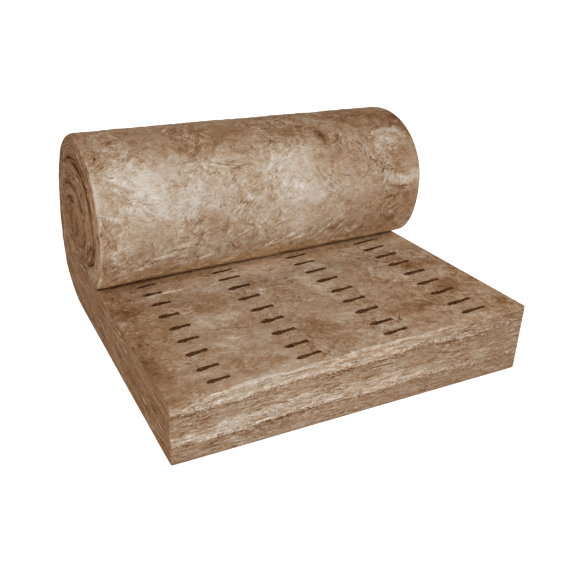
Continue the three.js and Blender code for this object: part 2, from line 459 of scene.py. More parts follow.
def patchwork(u, v, patches):
    """Sums soft patches, whose outlines are bent by noise."""
    at = columns(u, v, 0 * u) * PATCH_BEND_SCALE
    u, v = (line + PATCH_BEND * octaves(warp_noise, at + far, 5, 0.65) for line, far in ((u, 0), (v, 40)))
    return sum(soft_patch(u, v, *patch) for patch in patches)


# The next four give the tone, the shade warmth and the contrast at points of a face. Shade warmth is painted
# shade:
# it makes the brown stronger where little light comes. Contrast is how much the mottling shows.

def roll_looks(x, s):
    """Browner over the crown, partly as painted shade, and at the right. Paler at the back, paler low down
    as painted light where the front turns under into shade, and a painted highlight at the left edge.
    """
    # Painted light and shade: the crown term is partly painted shade; low and foot are painted light where
    # the front turns under into shade; left is a painted highlight along the left edge; and the rim line is
    # a painted highlight beside the crown's rounding, with painted shade on the rounding itself.
    crown, back, low = smooth(s, 2.33, 2.15), smooth(s, 1.8, 1.3), smooth(s, 2.58, 2.66)
    right, left = smooth(x, 0.80, 0.92), smooth(x, 16 * MM, 4 * MM)
    foot = smooth(s, 2.645, 2.675) * smooth(x, 0.15, 0.35)
    rim = CROWN_ROUND * over_crown(s)
    rim_highlight_and_shade = over_crown(s) * (bell(x, rim, 5 * MM) - smooth(x, rim, rim - 8 * MM))
    tone = ROLL_TONE - 0.13 * crown - 0.05 * right * (1 - 0.5 * crown) + 0.08 * back + 0.11 * low
    tone = tone + 0.05 * foot + 0.06 * left * (1 - crown) + 0.05 * rim_highlight_and_shade
    # Painted shade warmth: a stronger brown low down and towards the right, where little light comes.
    shade_warmth = 0.25 * smooth(s, 2.40, 2.52) + (0.70 - 0.14 * smooth(x, 0.65, 0.90)) * smooth(s, 2.56, 2.68)
    shade_warmth = shade_warmth + 0.12 * smooth(x, 0.35, 0.60) * smooth(s, 2.20, 2.35)
    contrast = 1 + 0.15 * smooth(s, 2.48, 2.60) + 0.45 * smooth(s, 2.60, 2.67)
    return tone + patchwork(x, s, ROLL_PATCHES), shade_warmth, contrast


def top_looks(x, y):
    """Browner at the left, paler near the roll as painted light against its shadow, and darkened in the
    crease under it as painted shade.
    """
    # Painted light near the roll, where its shadow falls, and painted shade in the crease under it.
    left, near_roll_light = smooth(x, 0.14, 0), smooth(y, 0.54, 0.66)
    crease_light = smooth(y, CREASE_Y - 30 * MM, CREASE_Y - 12 * MM)
    wavy = y + 5 * MM * octaves(middle_noise, columns(x * 24, 0 * x, 0 * x), 3)
    crease_shade = smooth(wavy, CREASE_Y - 2 * MM - 12 * MM * smooth(x, 0.40, 0.20), CREASE_Y)
    tone = TOP_TONE - 0.06 * left - 0.01 * smooth(x, 0.5, 0.2) + 0.12 * crease_light - 0.20 * crease_shade
    tone = tone + near_roll_light * (0.05 + 0.11 * smooth(x, 0.08, 0.34))
    # Painted shade warmth: a stronger brown where the tail is less lit, most near the roll.
    bright = smooth(x, 1.00, 0.50) * (1 - 0.5 * smooth(y, 0.20, 0.50))
    shade_warmth = 0.29 - 0.20 * bright + smooth(y, 0.55, 0.67) * (0.34 + 0.20 * smooth(x, 0.10, 0.30))
    contrast = 0.84 + 0.24 * smooth(x, 0.6, 0.95) + 0.5 * smooth(y, 0.62, 0.70)
    return tone + patchwork(x, y, TAIL_PATCHES), shade_warmth + 0.40 * smooth(y, 0.66, 0.72), contrast


def cut_looks(x, height, band):
    """Warmer in the pale bands and most along their lower edges, which is painted shade, and more mottled
    there too.
    """
    inside, pale, above = band.T
    left, right, foot = smooth(x, 0.2, 0), smooth(x, 0.75, 1.1), smooth(height, 0.06, 0)
    tone = CUT_TONE - 0.03 * left - 0.02 * right - 0.04 * foot
    # Painted shade warmth inside the pale bands and most along their overhanging lower edges.
    edge = bell(above, 0, 7 * MM)
    shade_warmth = (0.12 * smooth(inside, -2 * MM, 4 * MM) + 0.28 * edge) * np.minimum(1, pale / 0.1)
    contrast = (0.25 * smooth(inside, -4 * MM, 4 * MM) + 0.6 * edge) * np.minimum(1, pale / 0.08)
    return tone, 0.20 - 0.18 * smooth(x, 0.75, 0.10) + shade_warmth, 1.15 + contrast


def end_looks(s, depth, thick):
    """The ends are browner, darkest along the slits as painted shade between the turns, and palest where the
    outer turn comes down, with a painted highlight along the outer edge.
    """
    to_slit = np.where(s > FOOT_S, np.minimum(depth, 1 - depth), 1 - depth) * thick
    wound, outer = smooth(s, LIFT_S, BACK_S), smooth(s, strip.ends[1, DOWN], strip.ends[1, OVER])
    round_turn = (s - strip.ends[0, FRONT] + 0.12) * 2 * math.pi / TURN_LENGTH
    in_front = smooth(np.cos(round_turn), 0.2, 0.8) * outer
    # Painted shade in the slits between the turns, strongest in front of the outer turn.
    slit_shade = smooth(to_slit, SLIT_REACH * (1 + 0.6 * in_front), 1 * MM)
    slit_shade = SLIT_PAINTED_SHADE * (0.25 + 0.55 * outer + 0.5 * in_front) * slit_shade
    slit_shade = slit_shade + 0.05 * smooth(to_slit, 4 * SLIT_REACH, SLIT_REACH)
    # rim is a painted highlight along the edge where an end meets the outer face.
    rim, front = smooth(depth * thick, 12 * MM, 2 * MM), smooth(s, strip.ends[0, OVER], strip.ends[0, FRONT])
    tone = END_TONE + 0.05 * octaves(broad_noise, columns(5 * s, 22 * depth * thick, 0 * s), 2)
    tone = tone + wound * (0.06 * (s < FOOT_S) * (rim + front) + 0.01 - slit_shade)
    return tone, 0.40 + 0.06 * wound, 0.9 + 0.4 * wound


# ---- Pale bands of the cut face, and the fluff that hangs over its top edge ----

# A layer's pale band: x, its lower and its upper edge as shares of the layer, and how pale it is.
LAYERS = 2
CUT_BAND = np.array([
    (0, 0.62, 0.88, 0.09), (90, 0.57, 0.93, 0.10), (150, 0.57, 1.03, 0.11), (195, 0.56, 1.13, 0.11),
    (245, 0.66, 1.09, 0.10), (300, 0.65, 1.08, 0.10), (355, 0.68, 1.16, 0.10), (450, 0.63, 1.10, 0.09),
    (540, 0.59, 1.06, 0.10), (640, 0.57, 1.08, 0.11), (700, 0.60, 1.06, 0.10), (790, 0.66, 1.02, 0.08),
    (860, 0.60, 1.06, 0.06), (930, 0.53, 1.04, 0.05), (1000, 0.5, 1.02, 0.05), (1060, 0.56, 0.98, 0.03),
    (1200, 0.60, 0.90, 0.00),
]) * (MM, 1, 1, 1)
LAYER_LEAN = np.array([22, 0]) * MM  # how far along x each layer's band lies, the lower one first
NO_BAND = (-1.0, 0.0, 1.0)  # far outside every band
# Fluff along the top edge, in mm: (x, half length, reach onto the top).
EDGE_FLUFF = [(250, 95, 22), (410, 70, 14), (590, 90, 20), (720, 60, 12), (860, 60, 9)]
FLUFF_PALE = 0.13


def cut_band(x, height):
    """How far inside a pale band a point of the cut face lies, how pale the band is there, and how
    far the point is above the band's lower edge. Distances are in metres."""
    layer_height = tail_thickness(x / STRIP_WIDTH) / LAYERS
    found = np.tile(NO_BAND, (len(x), 1))
    for layer in range(LAYERS):
        low, high, pale = (np.interp(x - LAYER_LEAN[layer], CUT_BAND[:, 0], part) for part in CUT_BAND.T[1:])
        above = (height * LAYERS - layer - low) * layer_height
        inside = np.minimum(above, (layer + high - height * LAYERS) * layer_height)
        nearer = inside > found[:, 0]
        found[nearer] = columns(inside, pale, above)[nearer]
    return found


def fluff_band(x, y):
    """The same for the top of the tail, along its front edge."""
    inside = np.full(len(x), -1.0)
    for centre, half, reach in EDGE_FLUFF:
        side = np.clip(1 - ((x - centre * MM) / (half * MM)) ** 2, 0, 1)
        inside = np.maximum(inside, reach * MM * (np.sqrt(side) - 0.3) - y)
    return columns(inside, np.full(len(x), FLUFF_PALE), np.ones(len(x)))


# ---- Relief ----

def lumps(at):
    """The soft relief of the roll and of the tail's top."""
    soft = 2.2 * MM * octaves(broad_noise, at * 7, 2)
    return soft + 1.1 * MM * octaves(middle_noise, at * 30, 3, 0.7)


def relief_of(face, x, s, depth):
    """How far a face's points move straight out of it. The strip's edges stay where they are."""
    thick = strip.thickness(x, s)
    at = columns(x, s, depth * thick)
    to_end = np.minimum(x, STRIP_WIDTH - x)
    from_ends = smooth(to_end, 4 * MM, 40 * MM)
    from_faces = smooth(np.minimum(depth, 1 - depth) * thick, 2 * MM, 14 * MM)
    if face == "roll":
        shown = smooth(s, LIFT_S - 50 * MM, LIFT_S + 100 * MM) * smooth(s, FOOT_S, FOOT_S - 70 * MM)
        pressed = 1 - 0.75 * bell(s, 2.07, 0.08)
        return lumps(at) * shown * pressed * (0.35 + 0.65 * from_ends)
    if face == "top":
        y = y_of(x, s, depth)
        open_tail = smooth(y, CREASE_Y + 20 * MM, CREASE_Y - 40 * MM)
        return lumps(at) * open_tail * from_ends * (0.3 + 0.7 * smooth(y, 4 * MM, 40 * MM))
    if face == "cut":
        inside, pale, above = cut_band(x, depth).T
        streaks = columns(x * 9, s, depth * thick * 70)
        crumbs = columns(x * 80, s, depth * thick * 120)
        band = 3.2 * MM * smooth(inside, -3 * MM, 4 * MM) * np.minimum(1, pale / 0.1)
        edge = bell(above, 0, 6 * MM) * np.minimum(1, pale / 0.1)
        move = band + 1.6 * MM * octaves(middle_noise, streaks, 3, 0.7)
        move = move + (0.8 * MM + 1.6 * MM * edge) * octaves(fine_noise, crumbs, 2)
        return move * from_faces * smooth(to_end, 2 * MM, 14 * MM)
    layered = columns(x * 9, s * 6, depth * thick * 50)
    move = 2.0 * MM * octaves(middle_noise, layered, 2, 0.7) + 1.8 * MM * octaves(broad_noise, at * 12, 2)
    return move * from_faces * smooth(s, 2 * MM, 14 * MM)


# ---- Dashes across the top of the tail ----

DASH_COLUMNS = np.array([158, 431, 729, 1030]) * MM  # the middle of each column, from the left edge
DASH_LENGTHS = np.array([73, 84, 85, 94]) * MM
DASH_ROWS = np.array([54, 121, 209, 290, 371, 461, 546, 624, 692]) * MM  # from the cut end
DASH_SHIFTS = np.array([0, -5, -2, 1, 5, 0, 3, -1, 0]) * MM  # how far each row lies to the right
DASH_SLOPE = 0.06
DASH_HALF = 11.3 * MM  # half of a dash's height where it is thickest
DASH_RAGGED, DASH_SOFT = 11 * MM, 0.8 * MM  # how far noise moves its edge, and how sharp the edge is
DASH_END_RAGGED, DASH_END_SOFT = 0.3, 0.03  # the same at its ends, in halves of its length
LAST_DASH_ROW, LAST_DASH_SHARE = 7.5, 0.8  # the row past this number is thinner
DASH_SHAPE = [  # along a dash from 0 at its left end to 1, and its height there
    (0, 0.30), (0.06, 0.58), (0.18, 0.88), (0.30, 0.96), (0.42, 0.84), (0.50, 0.80), (0.60, 0.64),
    (0.75, 0.66), (0.92, 0.70), (1, 0.55),
]
ROW_SPACING = float(np.diff(DASH_ROWS).mean())
COLUMN_SPACING = np.diff(DASH_COLUMNS).mean()


def counted(value, places):
    """0 at the first place, 1 at the second and so on, going on evenly outside them."""
    steps = np.diff(places)
    places = np.concatenate([[places[0] - steps[0]], places, [places[-1] + steps[-1]]])
    return np.interp(value, places, np.arange(len(places)) - 1.0)


def dash_places(face, x, s, depth):
    """Each point's column and row among the dashes, as numbers that are whole in the middle of a
    dash, and half the length of a dash there, which is 0 on the faces that have none."""
    y = y_of(x, s, depth)
    lengths = np.interp(x, DASH_COLUMNS, DASH_LENGTHS) if face == "top" else 0 * x
    column = counted(x - np.interp(y, DASH_ROWS, DASH_SHIFTS), DASH_COLUMNS)
    return columns(column, counted(y, DASH_ROWS), lengths / 2 / COLUMN_SPACING)


# ---- The blanket ----

def looks_of(face, x, s, depth):
    """What the wool material reads at points of a face."""
    band = np.tile(NO_BAND, (len(x), 1))
    if face == "roll":
        tone, shade_warmth, contrast = roll_looks(x, s)
    elif face == "top":
        y = y_of(x, s, depth)
        tone, shade_warmth, contrast = top_looks(x, y)
        band = fluff_band(x, y)
    elif face == "cut":
        band = cut_band(x, depth)
        tone, shade_warmth, contrast = cut_looks(x, depth, band)
    else:
        tone, shade_warmth, contrast = end_looks(s, depth, strip.thickness(x, s))
        if face == "hidden":
            tone = np.full(len(x), HIDDEN_TONE)
    at_end, at_cut = (np.full(len(x), float(here)) for here in (face in ("left", "right"), face == "cut"))
    grain = columns(at_end, contrast, at_cut)
    dash = dash_places(face, x, s, depth)
    return {"tone": tone, "shade_warmth": shade_warmth, "grain": grain, "band": band, "dash": dash}


def dress(mesh, x, s, depth, looks):
    """Gives a mesh what the wool material reads."""
    place = columns(x, s, depth * strip.thickness(x, s))
    for name, values in {"strip": place, **looks}.items():
        kind, field = ("FLOAT", "value") if values.size == len(x) else ("FLOAT_VECTOR", "vector")
        data = mesh.attributes.new(name, kind, "POINT").data
        data.foreach_set(field, values.astype(np.float32).ravel())


def add_piece(mesh):
    piece = bpy.data.objects.new(mesh.name, mesh)
    bpy.context.scene.collection.objects.link(piece)
    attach(piece, "root")
    return piece


def add_blanket():
    mesh = bpy.data.meshes.new("blanket")
    mesh.from_pydata(points.tolist(), [], polygons)
    mesh.update()
    normals = np.empty(3 * len(points), np.float32)
    mesh.vertex_normals.foreach_get("vector", normals)

    # A vertex on an edge takes the mean of its faces.
    share = sum(mask.astype(float) for mask in FACES.values())
    looks = looks_of("hidden", x, s, depth)
    move = np.zeros(len(x))
    for values in looks.values():
        values[share > 0] = 0
    for face, mask in FACES.items():
        spot = (face, x[mask], s[mask], depth[mask])
        move[mask] += relief_of(*spot) / share[mask]
        for name, values in looks_of(*spot).items():
            looks[name][mask] += (values.T / share[mask]).T

    moved = points + normals.reshape(-1, 3) * move[:, None]
    moved[:, 2] = np.maximum(moved[:, 2], 0)
    mesh.vertices.foreach_set("co", moved.astype(np.float32).ravel())
    mesh.update()
    mesh.polygons.foreach_set("use_smooth", np.ones(len(polygons), bool))
    dress(mesh, x, s, depth, looks)
    return add_piece(mesh)


# ---- Loose wisps of wool, lying on the faces ----

WISP_STEPS, WISP_WOBBLE = 6, 0.10
WISP_SINK = 0.6 * MM  # how deep the ends of a wisp go into the blanket
WISP_FLOAT = 0.15 * MM  # how high the middle of its underside lies
CUT_TOP, END_MARGIN, END_MOST = 0.985, 12 * MM, 0.35  # how near the edges of a face wisps may come
TUFT_SPREAD = 1.7 * MM
TUFT_WIDTH, TUFT_HEIGHT = 2.4 * MM, 1.3 * MM
# A tuft that is paler than the first number gets a painted shadow: a dark, flat copy of it this far along v
# on its face, with the last number's tone.
SHADOW_FROM, SHADOW_OFFSET, SHADOW_TONE = 0.05, {"roll": 4.5 * MM, "cut": -4 * MM}, -0.09
# Lengths, widths and heights.
CRUMB_SIZE, LIP_SIZE = np.array([[[19], [3.0], [2.0]], [[45], [2.2], [1.6]]]) * MM
THICKEST = 0.54, 0.76  # the share of the width where the cut face has most crumbs
LIP_S = 2.668  # the foot of the roll's front

# The part of each face that wisps keep to, as its lowest and highest u and v.
END_REGION = ((20 * MM, 0), (strip.ends[2, FOOT], TAIL_RIGHT))
REGIONS = {
    "roll": ((6 * MM, LIFT_S + 110 * MM), (STRIP_WIDTH - 6 * MM, FOOT_S - 40 * MM)),
    "top": ((20 * MM, 12 * MM), (STRIP_WIDTH - 20 * MM, OPEN_TAIL + 100 * MM)),
    "cut": ((12 * MM, 8 * MM), (STRIP_WIDTH - 40 * MM, TAIL_RIGHT)),
    "left": END_REGION,
    "right": END_REGION,
}


class Wisps:
    """Thin tapered strands, which are gathered into one piece."""

    def __init__(self, name, seed):
        self.name, self.random = name, np.random.default_rng(seed)
        self.corners, self.loops, self.places, self.looks, self.count = [], [], [], [], 0

    def lay(self, face, at, angle, bend, size, paler):
        """Strands on one face from their starts and headings. bend is how they turn at each step, and
        size is their lengths, widths and heights."""
        step = (size[0] / WISP_STEPS)[:, None]
        path = [at]
        for _ in range(WISP_STEPS):
            path.append(path[-1] + step * columns(np.cos(angle), np.sin(angle)))
            angle = angle + bend + WISP_WOBBLE * self.random.normal(size=len(at))
        path = np.stack(path, 1)
        low, high = REGIONS[face]
        kept = np.all((path >= low) & (path <= high), axis=(1, 2))
        path, (_, width, height), paler = path[kept], np.array(size)[:, kept, None], paler[kept]
        count = len(path)

        x, s, depth = on_face(face, path[..., 0].ravel(), path[..., 1].ravel())
        if face == "cut":
            depth = np.minimum(depth, CUT_TOP)
        elif face in ("left", "right"):
            edge = np.minimum(END_MARGIN / strip.thickness(x, s), END_MOST)
            depth = np.clip(depth, edge, 1 - edge)
        out = outward(face, x, s, depth)
        rise = np.sin(np.linspace(0, math.pi, WISP_STEPS + 1))
        lift = relief_of(face, x, s, depth) + np.tile((WISP_SINK + WISP_FLOAT) * rise - WISP_SINK, count)
        spine = (strip.place(x, s, depth) + out * lift[:, None]).reshape(count, -1, 3)
        out = out.reshape(count, -1, 3)
        aside = np.cross(out, np.gradient(spine, axis=1))
        aside /= np.linalg.norm(aside, axis=-1, keepdims=True)
        half, ridge = (0.5 * width * rise)[..., None], (height * rise)[..., None]
        rings = np.stack([spine - aside * half, spine + aside * half, spine + out * ridge], 2)[:, 1:-1]
        corners = np.concatenate([rings.reshape(count, -1, 3), spine[:, :1], spine[:, -1:]], 1)

        each = corners.shape[1]
        first, last, last_ring = each - 2, each - 1, each - 5
        pattern = []
        for side, other in ((0, 1), (1, 2), (2, 0)):
            pattern += [(first, other, side), (last, last_ring + side, last_ring + other)]
            for ring in range(0, last_ring, 3):
                a, b = ring + side, ring + other
                pattern += [(a, b, b + 3), (a, b + 3, a + 3)]
        starts = self.count + each * np.arange(count)[:, None, None]
        self.loops.append((np.array(pattern)[None] + starts).reshape(-1, 3))
        self.corners.append(corners.reshape(-1, 3))
        self.count += count * each

        def spread(values):
            """One value for each corner from one for each point of the paths."""
            values = values.reshape(count, WISP_STEPS + 1, -1)
            rings = np.repeat(values[:, 1:-1], 3, axis=1)
            return np.concatenate([rings, values[:, :1], values[:, -1:]], 1).reshape(count * each, -1)

        looks = looks_of(face, x, s, depth)
        looks["tone"] = looks["tone"] + (paler[:, None] * rise).ravel()
        self.places.append(columns(*map(spread, (x, s, depth))))
        self.looks.append({name: spread(values) for name, values in looks.items()})

    def scatter(self, face, count, size, heading, curl, paler):
        """Strands all over a face, which swirl by curl about a heading. size is in mm."""
        random = self.random
        size = random.uniform(0.5, 1.5, (3, count)) * np.array(size)[:, None] * MM
        low, high = np.array(REGIONS[face])
        at = low + (high - low) * random.random((count, 2))
        if face in ("left", "right"):
            at[:, 1] *= strip.thickness(0 * at[:, 0], at[:, 0]) / TAIL_RIGHT
        swirl = octaves(warp_noise, columns(at * 6, np.full(count, 7.0)), 2)
        angle = heading + curl * (1.6 * swirl + 0.35 * random.normal(size=count))
        bend = curl * 0.25 * random.normal(size=count)
        self.lay(face, at, angle, bend, size, paler + 0.05 * random.normal(size=count))

    def tuft(self, face, u, v, length, heading, strands, paler, bend=0):
        """A bundle of strands side by side, in metres, degrees and hundredths."""
        random = self.random
        heading, bend = math.radians(heading), math.radians(bend) / WISP_STEPS * np.ones(strands)
        direction = np.array([math.cos(heading), math.sin(heading)])
        across = np.array([-direction[1], direction[0]])
        along = length * random.uniform(-0.2, 0.2, (strands, 1))
        at = np.array([u, v]) + direction * along + across * TUFT_SPREAD * random.normal(size=(strands, 1))
        angle = heading + 0.10 * random.normal(size=strands)
        length = length * random.uniform(0.5, 1.15, strands)
        size = np.array([length, TUFT_WIDTH + 0 * length, TUFT_HEIGHT + 0 * length])
        paler = paler / 100 + 0.03 * random.normal(size=strands)
        self.lay(face, at, angle, bend, size, paler)
        # A pale tuft gets a dark flat copy below it as its painted shadow.
        if paler.mean() > SHADOW_FROM and face in SHADOW_OFFSET:
            flat = size * [[1], [1], [0.5]]
            self.lay(face, at + [0, SHADOW_OFFSET[face]], angle, bend, flat, SHADOW_TONE + 0 * length)

    def crumbs(self, all_over, thickest):
        """Short curls along the lower edges of the cut face's pale bands, each with a darker copy just below
        it as its painted shadow.
        """
        random = self.random
        for layer in range(LAYERS):
            share = np.append(random.random(all_over), random.uniform(*THICKEST, thickest))
            u, count = STRIP_WIDTH * share, all_over + thickest
            low = np.interp(u - LAYER_LEAN[layer], CUT_BAND[:, 0], CUT_BAND[:, 1])
            v = (layer + low) / LAYERS * tail_thickness(u / STRIP_WIDTH) + 4 * MM * random.normal(size=count)
            size = random.uniform(0.5, 1.4, (3, count)) * CRUMB_SIZE
            angle, bend = 0.4 + 0.7 * random.normal(size=count), 0.35 * random.normal(size=count)
            paler = 0.13 + 0.06 * random.normal(size=count)
            at = columns(u, v)
            self.lay("cut", at, angle, bend, size, paler)
            # Painted shadow: a darker copy of each curl just below it.
            self.lay("cut", at - [0, 3 * MM], angle, bend, size, 0.5 * paler - 0.11)

    def lip(self, count):
        """Dark strands along the foot of the roll's front, where it comes down to the tail, as painted shade
        that gives the crease a ragged edge.
        """
        random = self.random
        at = columns(STRIP_WIDTH * random.random(count), LIP_S + 7 * MM * random.normal(size=count))
        size = random.uniform(0.5, 1.5, (3, count)) * LIP_SIZE
        angle, bend = 0.12 * random.normal(size=count), 0.04 * random.normal(size=count)
        # Painted shade: the strands are darker than the wool around them.
        self.lay("roll", at, angle, bend, size, 0.06 * random.normal(size=count) - 0.12)

    def add(self):
        """Makes one piece of all strands."""
        mesh = bpy.data.meshes.new(self.name)
        mesh.from_pydata(np.concatenate(self.corners).tolist(), [], np.concatenate(self.loops).tolist())
        mesh.update()
        looks = {name: np.concatenate([part[name] for part in self.looks]) for name in self.looks[0]}
        dress(mesh, *np.concatenate(self.places).T, looks)
        return add_piece(mesh)


# Tufts: (x, s, length, heading, strands, how much paler, and how far they bend if they do), in
# mm, degrees and hundredths.
ROLL_TUFTS = [
    (390, 2285, 130, 12, 12, -12, 4), (455, 2315, 75, -8, 8, -12), (606, 2468, 104, 32, 7, -11, 135),
    (600, 2535, 50, -52, 14, 9, 10), (425, 2455, 36, -45, 8, 10), (825, 2165, 90, 85, 16, -9, 10),
    (990, 2250, 110, 100, 14, 12), (870, 2300, 90, -70, 12, 6, 20), (1050, 2217, 90, -16, 10, -12, 5),
    (1128, 2195, 50, 22, 8, -10), (858, 2377, 74, 8, 14, 11), (948, 2264, 50, 40, 10, -9, 30),
    (990, 2334, 54, 43, 10, -10), (620, 2192, 100, -3, 10, 7, 5), (715, 2187, 100, 12, 10, 7),
    (560, 2153, 110, 5, 10, 6), (565, 2207, 125, 4, 10, 6), (570, 2092, 90, 33, 10, -7),
    (1068, 2452, 126, 7, 16, -10), (45, 2540, 75, -32, 18, 9, 5), (115, 2620, 60, -16, 16, 13),
    (175, 2585, 95, -8, 18, 12), (230, 2557, 120, -8, 18, 10, 4), (645, 2592, 82, -20, 20, 12),
    (685, 2612, 58, -24, 14, 10), (40, 2600, 70, -42, 14, 10, 5), (80, 2585, 60, -40, 10, 8, 5),
    (330, 2620, 80, -22, 12, 7, 5), (560, 2632, 90, -35, 12, 8, 10), (780, 2600, 70, -40, 12, 7, 10),
    (860, 2590, 60, -45, 10, 7, 10), (440, 2560, 80, -25, 10, 6), (950, 2600, 60, -40, 10, 6, 10),
    (280, 2265, 90, -4, 12, 7), (600, 2330, 70, -30, 10, 6, 10), (300, 2480, 60, -30, 10, -7, 10),
    (480, 2500, 60, 20, 10, -8, 20), (250, 2515, 50, 10, 8, -8, 10), (90, 2330, 50, 35, 10, 7, 10),
    (360, 2570, 60, 5, 8, -8), (760, 2330, 60, 70, 10, -7, 10), (1090, 2245, 60, -10, 12, 8),
    (12, 2250, 130, 90, 10, 7), (11, 2380, 130, 90, 10, 9), (12, 2500, 110, 90, 10, 8),
]
TAIL_TUFTS = [
    (470, 520, 90, -60, 12, 6, 10), (640, 470, 110, -70, 12, 8, 15), (250, 250, 90, -20, 12, 6, 15),
    (320, 150, 80, 35, 12, 6, 10), (210, 180, 70, -30, 10, 6, 10), (700, 160, 90, 10, 12, 6, 10),
    (188, 612, 90, -7, 12, 10), (198, 450, 44, 8, 8, 7), (630, 545, 150, -67, 8, 6),
    (465, 195, 76, -78, 8, 7), (775, 545, 70, -73, 8, 6), (203, 242, 95, -44, 14, 10, 5),
    (605, 135, 60, -13, 8, -8), (790, 120, 80, 8, 8, -8), (880, 420, 80, -50, 10, 6, 10),
    (1010, 520, 70, 30, 10, 6, 10),
]
# On the cut face the second number is hundredths of a layer's height, and each tuft is in both layers.
CUT_TUFTS = [
    (183, 55, 34, 4, 20, 12, 14), (205, 59, 42, 24, 20, 13, 12), (250, 70, 60, -6, 16, 11, 8),
    (300, 66, 70, 3, 18, 12, 4), (352, 72, 60, 8, 14, 10), (100, 96, 60, 8, 16, 10, 6),
    (150, 105, 50, 14, 18, 12), (290, 106, 66, 6, 16, 12, 8), (348, 115, 90, -6, 18, 12, -6),
    (600, 74, 60, 4, 14, 10, 6), (650, 80, 55, 2, 14, 10), (706, 64, 44, 18, 20, 13, -8),
    (740, 73, 56, 6, 18, 12, -6), (840, 102, 60, 6, 16, 10, -6), (895, 105, 60, -3, 12, 8),
    (878, 60, 50, -6, 20, 12, -4), (1020, 104, 75, 0, 10, 8), (10, 74, 60, -3, 16, 9),
    (60, 68, 60, -3, 14, 9, 4), (116, 70, 34, 0, 16, 10), (440, 76, 70, -4, 12, 8),
    (500, 66, 60, -3, 12, 9), (560, 64, 60, -3, 12, 9), (940, 58, 50, 20, 10, 7, 10),
    (680, 46, 20, 70, 10, 10, 20), (365, 48, 16, 80, 10, 10, 20), (180, 46, 22, 85, 8, -12, 10),
    (108, 50, 20, 85, 8, -12, 10), (556, 46, 44, 86, 12, -12, 10), (300, 50, 20, 80, 12, -10, 10),
    (700, 98, 36, 2, 12, -12), (795, 106, 24, -10, 10, -12), (500, 96, 20, 40, 8, -10),
    (60, 30, 90, 2, 10, -7), (1060, 66, 50, 0, 12, -10), (930, 80, 60, -12, 10, -10),
]


def add_all_wisps():
    roll, tail = Wisps("roll_wisps", 21), Wisps("tail_wisps", 22)
    cut, ends = Wisps("cut_wisps", 23), Wisps("end_wisps", 24)
    roll.scatter("roll", 1500, (36, 1.3, 0.7), 0.3, 0.5, 0.02)
    tail.scatter("top", 1200, (40, 1.3, 0.7), 0.3, 0.5, 0.02)
    cut.scatter("cut", 2400, (26, 1.3, 1.0), 0.0, 0.25, 0.03)
    for face in ("left", "right"):
        ends.scatter(face, 1500, (60, 1.5, 1.0), 0.0, 0.15, 0.02)
    cut.crumbs(450, 140)
    roll.lip(240)
    for u, v, length, *rest in ROLL_TUFTS:
        roll.tuft("roll", u * MM, v * MM, length * MM, *rest)
    for u, v, length, *rest in TAIL_TUFTS:
        tail.tuft("top", u * MM, v * MM, length * MM, *rest)
    for u, share, length, *rest in CUT_TUFTS:
        for layer in range(LAYERS):
            at = u * MM + LAYER_LEAN[layer]
            height = (layer + share / 100) / LAYERS * tail_thickness(at / STRIP_WIDTH)
            cut.tuft("cut", at, height, length * MM, *rest)
    return [wisps.add() for wisps in (roll, tail, cut, ends)]


# ---- Material ----

class Wire:
    """An output of a node. Arithmetic with it makes math nodes."""

    def __init__(self, graph, socket):
        self.graph, self.socket = graph, socket

    def __add__(self, other):
        return self.graph.math("ADD", self, other)

    def __sub__(self, other):
        return self.graph.math("SUBTRACT", self, other)

    def __mul__(self, other):
        return self.graph.math("MULTIPLY", self, other)

    __rmul__ = __mul__

    def __abs__(self):
        return self.graph.math("ABSOLUTE", self)


class Graph:
    """Short calls for making the nodes of one tree."""

    def __init__(self, owner):
        owner.use_nodes = True
        self.tree = owner.node_tree
        self.tree.nodes.clear()

    def node(self, kind, values=(), **settings):
        node = self.tree.nodes.new("ShaderNode" + kind)
        for name, value in settings.items():
            setattr(node, name, value)
        for key, value in dict(values).items():
            if isinstance(value, Wire):
                self.tree.links.new(value.socket, node.inputs[key])
            else:
                node.inputs[key].default_value = value
        return node

    def wire(self, output, kind, values=(), **settings):
        """A new node's output, by its number or name."""
        return Wire(self, self.node(kind, values, **settings).outputs[output])

    def math(self, operation, a, b=0.0):
        return self.wire(0, "Math", {0: a, 1: b}, operation=operation)

    def vector(self, operation, a, b):
        return self.wire(0, "VectorMath", {0: a, 1: b}, operation=operation)

    def read(self, name, output):
        return self.wire(output, "Attribute", attribute_name=name)

    def read_three(self, name):
        """The three numbers of a vector attribute."""
        parts = self.node("SeparateXYZ", {0: self.read(name, "Vector")}).outputs
        return [Wire(self, part) for part in parts]

    def noise(self, at, scale, detail=2.0, roughness=0.5, output="Fac"):
        values = {"Vector": at, "Scale": scale, "Detail": detail, "Roughness": roughness}
        return self.wire(output, "TexNoise", values)

    def remap(self, value, low, high, to_low=0.0, to_high=1.0):
        """Goes smoothly from to_low at low to to_high at high."""
        values = {"Value": value, "From Min": low, "From Max": high, "To Min": to_low, "To Max": to_high}
        return self.wire(0, "MapRange", values, interpolation_type="SMOOTHSTEP")

    def colours(self, share, a, b, blend="MIX"):
        return self.wire(2, "Mix", {0: share, 6: a, 7: b}, data_type="RGBA", blend_type=blend)


TONE_COLOURS = [  # tone, then the colour as it looks on a screen, from 0 to 255
    (0.16, (60, 34, 14)), (0.25, (88, 57, 31)), (0.40, (131, 97, 68)), (0.48, (148, 120, 93)),
    (0.58, (168, 148, 127)), (0.69, (188, 177, 164)), (0.83, (212, 205, 201)),
]
INK, WORN_INK = (54, 29, 8), (96, 62, 36)
SHADE_WARM_TINT = (1, 0.74, 0.48, 1)  # full painted shade warmth leaves this share of the colour's red, green and blue
BAND_RAGGED, BAND_SOFT = 22 * MM, 1.2 * MM  # how far noise moves a pale band's edges, and how sharp
